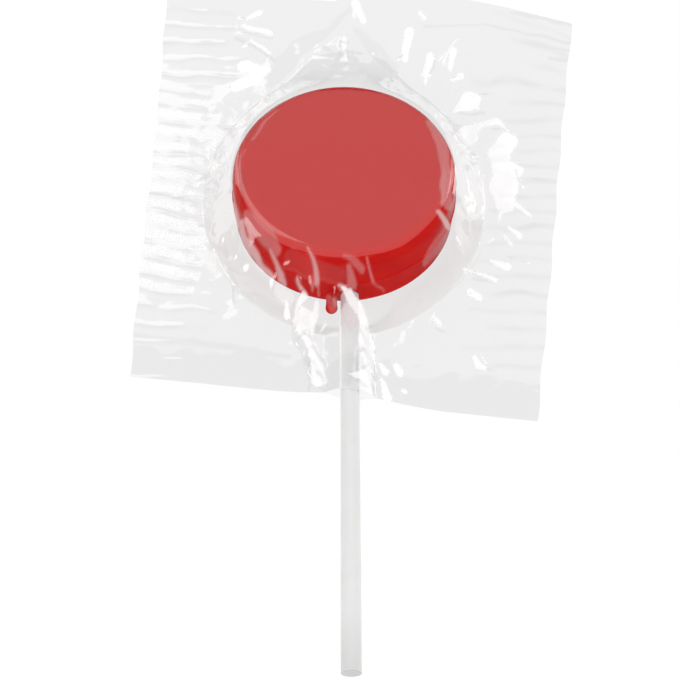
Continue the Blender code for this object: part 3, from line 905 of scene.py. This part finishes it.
def crumple(x, y):
    """All creases together: strong round the pocket and calm towards the film's edges."""
    wx, wy = warped(x, y, 41)
    around = np.exp(-(((np.hypot(x, y) - CRUMPLE_RADIUS) / CRUMPLE_SPREAD) ** 2))
    patches = np.clip(0.6 + 0.5 * waves(x, y, 14 * MM, 43), 0.15, 1.3)
    cells = facets(wx, wy, BROAD_CELLS, 44) * (CALM_SLOPE + BROAD_SLOPE * around * patches)
    cells += facets(wx, wy, FINE_CELLS, 45) * (CALM_SLOPE + FINE_SLOPE * around * patches)
    return hand_folds(wx, wy) + random_folds(wx, wy, 5) + cells


print("folds at random:", RANDOM_FOLDS)

# %% [markdown]
# Over the candy the front sheet lies on the face and runs down like a tent to where the sheets
# meet, and it leaves the face in a soft bend and not in a sharp one. Over the stick it makes a
# tunnel, and two gathered pleats lie beside the stick.

# %% Pocket, tunnel and pleats
LEAVE_FRONT = 18.4 * MM
EDGE_SOFTNESS = 0.08
LEAVE_BACK = 18.5 * MM
LEAVE_BACK_DRIP = 4.6 * MM
DRIP_ROOM_ANGLE = 0.4
FACE_CLEAR = 0.12 * MM
STICK_CLEAR = 0.25 * MM
TUNNEL_FLAT = 1.5 * MM
TUNNEL_REACH = 4.2 * MM
CRIMP_CALM = 0.8
# points of each pleat's ridge, in millimetres
LEFT_PLEAT = ((-6.9, -22.4), (-7.7, -25.0), (-5.6, -29.5), (-3.9, -35.4))
RIGHT_PLEAT = ((-0.9, -20.6), (1.2, -24.1), (3.5, -29.5), (3.6, -37.5))
PLEAT_HEIGHT = 1.3 * MM
PLEAT_WIDTH = 0.9 * MM
PLEAT_START = 19.0 * MM
PLEAT_FULL = 23.0 * MM
SHEET_GAP = 0.04 * MM
FLOOR_CLEAR = 0.03 * MM


def path_distance(x, y, path):
    """How far each point is from a path of straight stretches."""
    nearest = np.full_like(x, 1.0)
    for start, end in zip(path, path[1:]):
        dx, dy = end[0] - start[0], end[1] - start[1]
        along = np.clip(((x - start[0]) * dx + (y - start[1]) * dy) / (dx * dx + dy * dy), 0, 1)
        nearest = np.minimum(nearest, np.hypot(x - start[0] - dx * along, y - start[1] - dy * along))
    return nearest


def pleat(x, y, path):
    """The height of a gathered fold along a path, with a twist that makes it lumpy."""
    wx, wy = warped(x, y, 51)
    lumps = 1 + 0.25 * waves(x, y, 2.2 * MM, 52)
    away = path_distance(wx, wy, [(point[0] * MM, point[1] * MM) for point in path])
    return PLEAT_HEIGHT * lumps * np.exp(-((away / PLEAT_WIDTH) ** 2))


def tent_share(x, y, leave_radius):
    """1 over the candy, falling softly over its edge to 0 where the sheets meet."""
    outer = tent_radius(np.arctan2(y, x))
    straight = np.clip((outer - np.hypot(x, y)) / (outer - leave_radius), 0, 2)
    rounded = straight - EDGE_SOFTNESS * np.log1p(np.exp((straight - 1) / EDGE_SOFTNESS))
    return np.clip(rounded, 0, 1)


def tunnel_share(x, y):
    """1 over the stick and 0 at each side of it."""
    side = np.abs(x - stick_x)
    return np.clip((TUNNEL_REACH - side) / (TUNNEL_REACH - TUNNEL_FLAT), 0, 1) * (y < 0)


def middle_height(across, up, x, y):
    """Where the two sheets are pressed together."""
    beside = pleat(x, y, LEFT_PLEAT) * ease((-y - PLEAT_START) / (PLEAT_FULL - PLEAT_START))
    crests, strength = crimp_lines(across, up, x, y)
    calm = 1 - CRIMP_CALM * np.clip(strength, 0, 1)
    height = pressed_height(x, y) + beside + CRIMP_DEPTH * crests + crumple(x, y) * calm
    return np.maximum(height, LOWEST_FILM)


def front_height(across, up, x, y):
    """The front sheet."""
    middle = middle_height(across, up, x, y)
    share = tent_share(x, y, LEAVE_FRONT)
    over_candy = (candy_top + FACE_CLEAR - middle) * share
    over_stick = (stick_z + stick_radius + STICK_CLEAR - middle) * tunnel_share(x, y)
    radius = np.hypot(x, y)
    gathers = pleat(x, y, RIGHT_PLEAT) * ease((radius - LEAVE_FRONT - 2 * MM) / (3 * MM))
    lift = np.maximum(np.maximum(over_candy, over_stick), 0)
    lift += gathers * np.maximum(share, tunnel_share(x, y)) ** 0.5
    slope_folds = crumple(x, y) * np.clip(share, 0, 1) * ease((1 - share) * 4)
    return middle + lift + slope_folds + SHEET_GAP


def back_height(across, up, x, y):
    """The back sheet."""
    middle = middle_height(across, up, x, y)
    near_drip = np.exp(-((turn_between(np.arctan2(y, x), -math.pi / 2) / DRIP_ROOM_ANGLE) ** 4))
    under_candy = (middle - FLOOR_CLEAR) * tent_share(x, y, LEAVE_BACK + LEAVE_BACK_DRIP * near_drip)
    under_stick = (middle - (stick_z - stick_radius - STICK_CLEAR)) * tunnel_share(x, y)
    drop = np.maximum(np.maximum(under_candy, under_stick), 0)
    return np.maximum(middle - drop - SHEET_GAP, FLOOR_CLEAR)


print("front sheet clears the face by", round(FACE_CLEAR / MM, 2), "mm")

# %% [markdown]
# Parts of the film's whiteness and greyness are painted on the front sheet as strokes: the white
# glints and streaks are painted highlights and painted reflections, and the dark strokes are
# painted shade. The strokes were drawn over the photograph's 680 by 680 points. A stroke has a
# strength and a path of points, each with its column, its row and the stroke's full width there.
# Lines of sight from the camera carry it to the film, taken without its creases. The sheet then
# holds the strokes as two named values per point, which the material reads. Streaks are the fainter ones,
# over the candy.

# %% Strokes of milky and doubled film
PHOTO_SIDE = 680
POINT_ON_FILM = 0.185 * MM
PLAIN_LEAVE = 17.9 * MM
SIGHT_START = 5.0 * MM
SIGHT_STEPS = 60
STREAK_COVER = 0.8
# painted highlights: white strokes where the creased film flashes and where it lies over the stick
GLINTS = (
    (1, ((508, 141, 18), (500, 153, 22), (500, 166, 16))),
    (1, ((503, 168, 23), (504, 190, 25), (505, 206, 16))),
    (0.9, ((512, 165, 5), (521, 170, 6), (518, 177, 3))),
    (1, ((512, 203, 8), (522, 210, 5), (531, 215, 2))),
    (1, ((503, 208, 5), (500, 222, 1.5))),
    (1, ((453, 112, 3), (471, 101, 19))),
    (1, ((463, 141, 12), (469, 134, 20), (480, 126, 9))),
    (0.8, ((480, 125, 5), (496, 122, 7), (505, 129, 2))),
    (0.95, ((246, 67, 13), (268, 72, 8))),
    (0.95, ((237, 87, 12), (254, 80, 15), (263, 74, 9))),
    (0.8, ((262, 88, 5), (268, 104, 2))),
    (1, ((243, 27, 2.5), (271, 34, 4))),
    (0.9, ((247, 19, 4), (260, 13, 5))),
    (0.9, ((252, 41, 2), (270, 53, 3))),
    (0.9, ((356, 5, 9), (363, 22, 5))),
    (0.75, ((343, 39, 4.5), (345, 61, 3.5))),
    (0.8, ((322, 65, 2), (327, 68, 1.5))),
    (0.9, ((409, 32, 9), (405, 60, 6))),
    (0.6, ((420, 13, 4), (425, 19, 4))),
    (0.8, ((453, 51, 6), (449, 69, 4))),
    (0.85, ((431, 58, 8), (427, 70, 6), (426, 84, 3))),
    (0.9, ((452, 81, 2), (461, 77, 8))),
    (0.6, ((458, 39, 1), (440, 60, 1.5))),
    (0.42, ((205, 146, 8), (228, 135, 11), (249, 125, 6))),
    (0.4, ((194, 181, 6), (218, 172, 9))),
    (0.5, ((193, 191, 2), (215, 194, 2))),
    (0.45, ((192, 247, 6), (208, 258, 14), (214, 272, 5))),
    (0.32, ((277, 289, 6), (288, 300, 11))),
    (1, ((464, 270, 2.5), (480, 274, 4.5), (495, 281, 4))),
    (1, ((470, 292, 7), (479, 298, 5))),
    (0.8, ((434, 318, 4), (440, 326, 4))),
    (1, ((475, 357, 3), (479, 366, 4), (484, 368, 2))),
    (0.9, ((491, 261, 2), (506, 266, 9))),
    (0.9, ((508, 227, 3), (519, 236, 7))),
    (0.8, ((503, 236, 2), (511, 245, 3))),
    (0.8, ((458, 240, 4), (461, 246, 2))),
    (0.7, ((488, 241, 2), (494, 238, 3))),
    (0.8, ((342, 291, 3), (350, 301, 6), (357, 315, 4))),
    (0.8, ((350, 295, 4), (358, 308, 6), (364, 325, 8), (366, 340, 13))),
    (0.8, ((366, 340, 14), (366, 357, 13))),
    (0.8, ((367, 357, 13), (369, 371, 8))),
    (0.85, ((350, 374, 2), (361, 376, 9))),
    (0.8, ((367, 378, 10), (366, 397, 13))),
    (0.85, ((381, 379, 3), (388, 398, 9))),
    (0.95, ((381, 364, 3), (386, 372, 6))),
    (0.95, ((396, 366, 5), (399, 374, 7))),
    (0.8, ((403, 391, 4), (405, 392, 4))),
    (0.36, ((350, 322, 19), (350, 345, 19))),
    (0.34, ((351, 345, 19), (351, 397, 20))),
    (0.72, ((305, 298, 6), (297, 310, 4), (296, 322, 5))),
    (0.6, ((316, 305, 4), (312, 321, 5))),
    (0.75, ((304, 324, 17), (307, 338, 12), (312, 350, 8), (316, 362, 9), (319, 380, 14))),
    (0.6, ((320, 330, 2), (324, 325, 3))),
)
# painted highlights and painted reflections over the candy's rim, seam and drip
STREAKS = (
    (0.36, ((309, 246, 1.2), (314, 268, 3.2), (317, 284, 4.4))),
    (0.3, ((313, 284, 0.8), (313, 291, 0.8))),
    (0.3, ((319, 284, 0.8), (319, 297, 0.8))),
    (0.36, ((270, 251, 1.8), (276, 264, 3), (281, 278, 6.5), (285, 285, 3))),
    (0.4, ((298, 281, 2.4), (305, 294, 2.6))),
    (0.13, ((345, 255, 3), (362, 270, 6))),
    (0.15, ((349, 268, 4), (351, 285, 8))),
    (0.3, ((367, 258, 0.9), (374, 283, 1))),
    (0.2, ((374, 284, 0.7), (383, 292, 0.7))),
    (0.42, ((240, 226, 6), (250, 250, 7), (262, 268, 5), (273, 279, 3))),
    (0.15, ((246, 214, 6), (258, 227, 12), (268, 238, 14), (277, 251, 8))),
    (0.4, ((233, 205, 3), (237, 228, 5))),
    (0.09, ((330, 300, 5), (334, 309, 7))),
    (0.24, ((335, 302, 3), (336, 306, 3))),
    (0.5, ((338, 287, 2), (341, 289, 3), (346, 292, 1.5))),
    (0.17, ((430, 122, 7), (442, 146, 10), (446, 172, 10), (447, 206, 8))),
    (0.24, ((444, 168, 4), (443, 188, 5), (442, 203, 3))),
    (0.45, ((440, 212, 4), (446, 227, 7))),
    (0.11, ((448, 230, 8), (438, 247, 9), (424, 264, 4))),
    (0.2, ((435, 128, 1), (441, 142, 1.6))),
    (0.16, ((252, 140, 1.5), (262, 124, 2.5), (278, 110, 1.5))),
    (0.03, ((290, 258, 10), (315, 270, 12), (340, 276, 9))),
    (0.07, ((283, 268, 1.2), (300, 276, 1.5), (320, 281, 1.5), (338, 284, 1.2))),
    (0.14, ((262, 118, 0.7), (280, 104, 0.7))),
    (0.14, ((240, 160, 1), (246, 150, 1))),
)
# painted shade: darker strokes on steep facets and in shadowed places
SHADES = (
    (0.9, ((236, 39, 3), (256, 47, 4.5), (276, 62, 3))),
    (0.7, ((240, 32, 2), (272, 39, 2))),
    (0.42, ((270, 84, 9), (285, 64, 19), (300, 46, 19), (330, 30, 8), (350, 7, 4))),
    (0.42, ((357, 30, 6), (376, 52, 18), (392, 69, 12))),
    (0.45, ((389, 84, 10), (402, 96, 8))),
    (0.9, ((246, 134, 4), (258, 115, 5), (276, 102, 3))),
    (0.9, ((241, 172, 5), (242, 188, 6), (244, 202, 4))),
    (0.8, ((424, 27, 1.2), (455, 26, 1.5), (485, 24, 1.2))),
    (0.9, ((485, 24, 1.5), (528, 34, 2), (570, 43, 2.5))),
    (0.6, ((511, 13, 3), (545, 18, 5), (572, 26, 5))),
    (0.8, ((521, 43, 1.5), (569, 51, 3))),
    (0.9, ((549, 59, 2), (570, 61, 3))),
    (0.8, ((453, 113, 1.5), (484, 114, 3.5))),
    (0.2, ((459, 222, 5), (478, 228, 7), (495, 226, 4))),
    (0.15, ((389, 321, 10), (420, 300, 14), (447, 273, 12))),
    (0.6, ((440, 300, 1.2), (462, 280, 1.2), (480, 255, 1.2))),
    (0.45, ((234, 289, 5), (262, 303, 7), (289, 315, 6))),
    (0.5, ((225, 244, 1.5), (230, 270, 2), (237, 289, 2))),
    (0.12, ((349, 360, 4), (345, 378, 6), (343, 396, 7))),
    (0.3, ((290, 303, 3), (303, 318, 5), (304, 330, 3))),
    (0.55, ((135, 337, 5), (210, 344, 6), (289, 357, 5))),
    (0.6, ((135, 362, 1), (210, 367, 1.2), (300, 376, 1))),
)


def plain_front(x, y):
    """The front sheet's height without creases."""
    middle = pressed_height(x, y)
    outer = tent_radius(math.atan2(y, x))
    share = np.clip((outer - math.hypot(x, y)) / (outer - PLAIN_LEAVE), 0, 1)
    over_candy = (candy_top + FACE_CLEAR - middle) * share
    over_stick = (stick_z + stick_radius + STICK_CLEAR - middle) * tunnel_share(x, y)
    return middle + max(over_candy, over_stick, 0)


def on_film(column, row):
    """Where the line of sight through a point of the photograph meets that sheet."""
    focal = PHOTO_SIDE * LENS / SENSOR
    aside, up = (column - PHOTO_SIDE / 2) / focal, (PHOTO_SIDE / 2 - row) / focal
    sight = camera.rotation_euler.to_matrix() @ Vector((aside, up, -1.0))
    height = SIGHT_START
    for _ in range(SIGHT_STEPS):
        place = camera.location + sight * ((height - camera.location.z) / sight.z)
        height = (height + plain_front(place.x, place.y)) / 2
    return place.x, place.y


def laid(strokes):
    """The strokes on the film, in metres and with half widths."""
    half = POINT_ON_FILM / 2
    return [
        (strength, [(*on_film(column, row), width * half) for column, row, width in path])
        for strength, path in strokes
    ]


def stroke_strength(x, y, strokes, softness):
    """The strongest stroke at each point, from 0 to 1, with this soft border."""
    strongest = np.zeros_like(x)
    for strength, path in strokes:
        inside = np.zeros_like(x)
        for start, end in zip(path, path[1:]):
            dx, dy = end[0] - start[0], end[1] - start[1]
            px, py = x - start[0], y - start[1]
            along = np.clip((px * dx + py * dy) / (dx * dx + dy * dy), 0, 1)
            away = np.hypot(px - dx * along, py - dy * along)
            half = start[2] + (end[2] - start[2]) * along
            inside = np.maximum(inside, 1 - ease((away - half + softness) / (2 * softness)))
        strongest = np.maximum(strongest, strength * inside)
    return strongest


print("strokes:", len(GLINTS), "glints,", len(STREAKS), "streaks and", len(SHADES), "shades")

# %% [markdown]
# The seal along the film's lower edge is folded over, so it counts as doubled film. The crimp
# crests are painted darker as painted shade, in the same value. Between the ridges at the left,
# straight rows of painted highlight break up into small dots low down.

# %% Painted values
SEAL_SHARES = (0.066, 0.078)
SEAL_RAGGED = 0.012
SEAL_FADE = 0.008
SEAL_SHADE = 0.5
CREST_SHADE = 0.75
GLINT_SOFTNESS = 0.16 * MM
STREAK_SOFTNESS = 0.22 * MM
SHADE_SOFTNESS = 0.3 * MM
STROKE_WARP = 0.35
ROWS_WIDTH = 0.12
ROWS_RAGGED = 0.02
ROWS_SIDE_FADE = 0.035
ROWS_FROM = 0.18
ROWS_TO = 0.66
ROWS_FADE = 0.08
ROWS_HIGHLIGHT = 0.5
DOT_LENGTH = 1.6 * MM
DOTS_BELOW = 0.42


def painted(across, up, x, y):
    """The painted highlight, and the doubled film with its painted shade, at each point, each from 0 to 1.
    """
    wx, wy = warped(x, y, 61)
    wx, wy = x + (wx - x) * STROKE_WARP, y + (wy - y) * STROKE_WARP
    # painted highlight from the white strokes
    painted_highlight = stroke_strength(wx, wy, laid(GLINTS), GLINT_SOFTNESS)
    painted_highlight = np.maximum(painted_highlight, STREAK_COVER * stroke_strength(wx, wy, laid(STREAKS), STREAK_SOFTNESS))
    # painted shade from the dark strokes
    doubled_and_shade = stroke_strength(wx, wy, laid(SHADES), SHADE_SOFTNESS)
    crests = crimp_lines(across, up, x, y)[0]
    # painted shade on the crimp crests
    doubled_and_shade = np.maximum(doubled_and_shade, CREST_SHADE * crests)
    seal = SEAL_SHARES[0] + (SEAL_SHARES[1] - SEAL_SHARES[0]) * across
    seal += SEAL_RAGGED * waves(x, y, 5 * MM, 62)
    doubled_and_shade = np.maximum(doubled_and_shade, SEAL_SHADE * (1 - ease((up - seal) / SEAL_FADE)))
    left = 1 - ease((across - ROWS_WIDTH - ROWS_RAGGED * waves(x, y, 4 * MM, 64)) / ROWS_SIDE_FADE)
    rows = ease((up - ROWS_FROM) / ROWS_FADE) * (1 - ease((up - ROWS_TO) / ROWS_FADE))
    dotted = 1 - ease((up - DOTS_BELOW) / ROWS_FADE)
    dots = np.clip(1 - dotted * (0.35 - 0.6 * waves(x, 0.25 * y, DOT_LENGTH, 63)), 0, 1)
    between = ease(1.35 - 2.4 * np.abs(np.cos(math.pi * crimp_phase(across, up, x, y))) ** 2)
    # painted highlight rows between the crimp ridges at the left
    painted_highlight = np.maximum(painted_highlight, ROWS_HIGHLIGHT * left * rows * dots * between)
    return painted_highlight, doubled_and_shade


print("seal at the lower edge:", SEAL_SHARES, "of the film's height")

# %% [markdown]
# A sheet is a grid of points at its height over the floor. Only the front sheet is painted. The
# back one has the same two named values, all 0, because one function makes both materials.

# %% Film sheets
FRONT_GRID = (300, 320)
BACK_GRID = (240, 256)


def paint(piece, name, values):
    """A named value on each of the piece's points."""
    layer = piece.data.attributes.new(name, "FLOAT", "POINT")
    layer.data.foreach_set("value", values.reshape(-1).astype(np.float32))


def film_sheet(name, grid, height, with_paint):
    """A sheet of film at this height over a grid."""
    across, up, x, y = film_grid(*grid)
    z = height(across, up, x, y)
    vertices = np.stack([x, y, z], axis=-1).reshape(-1, 3)
    index = np.arange(vertices.shape[0]).reshape(x.shape)
    corners = [index[:-1, :-1], index[:-1, 1:], index[1:, 1:], index[1:, :-1]]
    faces = np.stack(corners, axis=-1).reshape(-1, 4)
    print(name, "heights", round(float(z.min()), 5), "to", round(float(z.max()), 5))
    sheet = new_piece(name, vertices, faces)
    plain = np.zeros_like(x)
    painted_highlight, doubled_and_shade = painted(across, up, x, y) if with_paint else (plain, plain)
    paint(sheet, "painted_highlight", painted_highlight)
    paint(sheet, "doubled_and_shade", doubled_and_shade)
    return sheet


front_sheet = film_sheet("film_front", FRONT_GRID, front_height, True)
back_sheet = film_sheet("film_back", BACK_GRID, back_height, False)

# %% [markdown]
# The material is a thin sheet's own optics: light goes through it, a little greyed, and the rest
# is mirrored, by Fresnel's law for both of its surfaces. The law has to give the same share from
# either side of the sheet, because light falls through it on its way to the candy too, so the
# back of the sheet gets the inverse index. Where the film is doubled it greys more, and it greys
# the same way under the painted shade. Where it carries a painted highlight it turns into a white
# scatter instead, lit most from above and some from below. The back sheet lies pressed to the
# candy and the ground, so it has its own material with a lower index, which mirrors less.

# %% Film material
FILM_CLEAR = 0.945
FILM_DOUBLED_AND_SHADE = 0.84
FILM_IOR = 1.5
BACK_IOR = 1.18
PAINTED_HIGHLIGHT_WHITE = (0.97, 0.98, 0.98)
PAINTED_HIGHLIGHT_THROUGH = 0.2
PAINTED_HIGHLIGHT_COVER = 0.97
FILM_MOTTLE = 900.0
FILM_ROUGHNESS = (0.05, 0.12)


def make_film_material(name, index):
    """Clear film: mostly see-through, mirroring more the flatter it is looked at."""
    material = bpy.data.materials.new(name)
    material.use_nodes = True
    tree = material.node_tree
    link = tree.links.new
    mirror = tree.nodes["Principled BSDF"]
    mirror.inputs["Base Color"].default_value = (1.0, 1.0, 1.0, 1.0)
    mirror.inputs["Metallic"].default_value = 1.0
    output = tree.nodes["Material Output"]
    uneven = place_unevenness(tree, FILM_MOTTLE)
    bump = add_bump(tree, uneven.outputs["Mottle"], 0.012 * MM, 0.2)
    link(bump.outputs["Normal"], mirror.inputs["Normal"])
    link(ramp_between(tree, uneven.outputs["Mottle"], *FILM_ROUGHNESS), mirror.inputs["Roughness"])
    side = tree.nodes.new("ShaderNodeNewGeometry")
    fresnel = tree.nodes.new("ShaderNodeFresnel")
    link(ramp_between(tree, side.outputs["Backfacing"], index, 1 / index), fresnel.inputs["IOR"])
    link(bump.outputs["Normal"], fresnel.inputs["Normal"])
    twice = add_math(tree, "MULTIPLY", fresnel.outputs[0], 2.0)
    more = add_math(tree, "ADD", fresnel.outputs[0], 1.0)
    both_sides = add_math(tree, "DIVIDE", twice, more)
    # painted shade: this value greys the film where it is doubled and where the dark strokes and crests lie
    doubled_and_shade = tree.nodes.new("ShaderNodeAttribute")
    doubled_and_shade.attribute_name = "doubled_and_shade"
    clearness = lay_over(tree, doubled_and_shade.outputs["Fac"], (FILM_CLEAR,) * 3, (FILM_DOUBLED_AND_SHADE,) * 3)
    see_through = tree.nodes.new("ShaderNodeBsdfTransparent")
    link(clearness, see_through.inputs["Color"])
    mix = tree.nodes.new("ShaderNodeMixShader")
    link(both_sides, mix.inputs[0])
    link(see_through.outputs[0], mix.inputs[1])
    link(mirror.outputs[0], mix.inputs[2])
    # painted highlight: this value turns the film into white scatter where the glints and streaks lie
    painted_highlight = tree.nodes.new("ShaderNodeAttribute")
    painted_highlight.attribute_name = "painted_highlight"
    from_above = tree.nodes.new("ShaderNodeBsdfDiffuse")
    from_below = tree.nodes.new("ShaderNodeBsdfTranslucent")
    highlight_scatter = tree.nodes.new("ShaderNodeMixShader")
    for place, scatter in enumerate((from_above, from_below)):
        scatter.inputs["Color"].default_value = (*PAINTED_HIGHLIGHT_WHITE, 1.0)
        link(scatter.outputs[0], highlight_scatter.inputs[place + 1])
    highlight_scatter.inputs[0].default_value = PAINTED_HIGHLIGHT_THROUGH
    cover = ramp_between(tree, painted_highlight.outputs["Fac"], 0.0, PAINTED_HIGHLIGHT_COVER)
    highlighted = tree.nodes.new("ShaderNodeMixShader")
    link(cover, highlighted.inputs[0])
    link(mix.outputs[0], highlighted.inputs[1])
    link(highlight_scatter.outputs[0], highlighted.inputs[2])
    link(highlighted.outputs[0], output.inputs["Surface"])
    return material


dress(front_sheet, "wrapper", make_film_material("clear_film", FILM_IOR))
dress(back_sheet, "wrapper", make_film_material("clear_film_back", BACK_IOR))
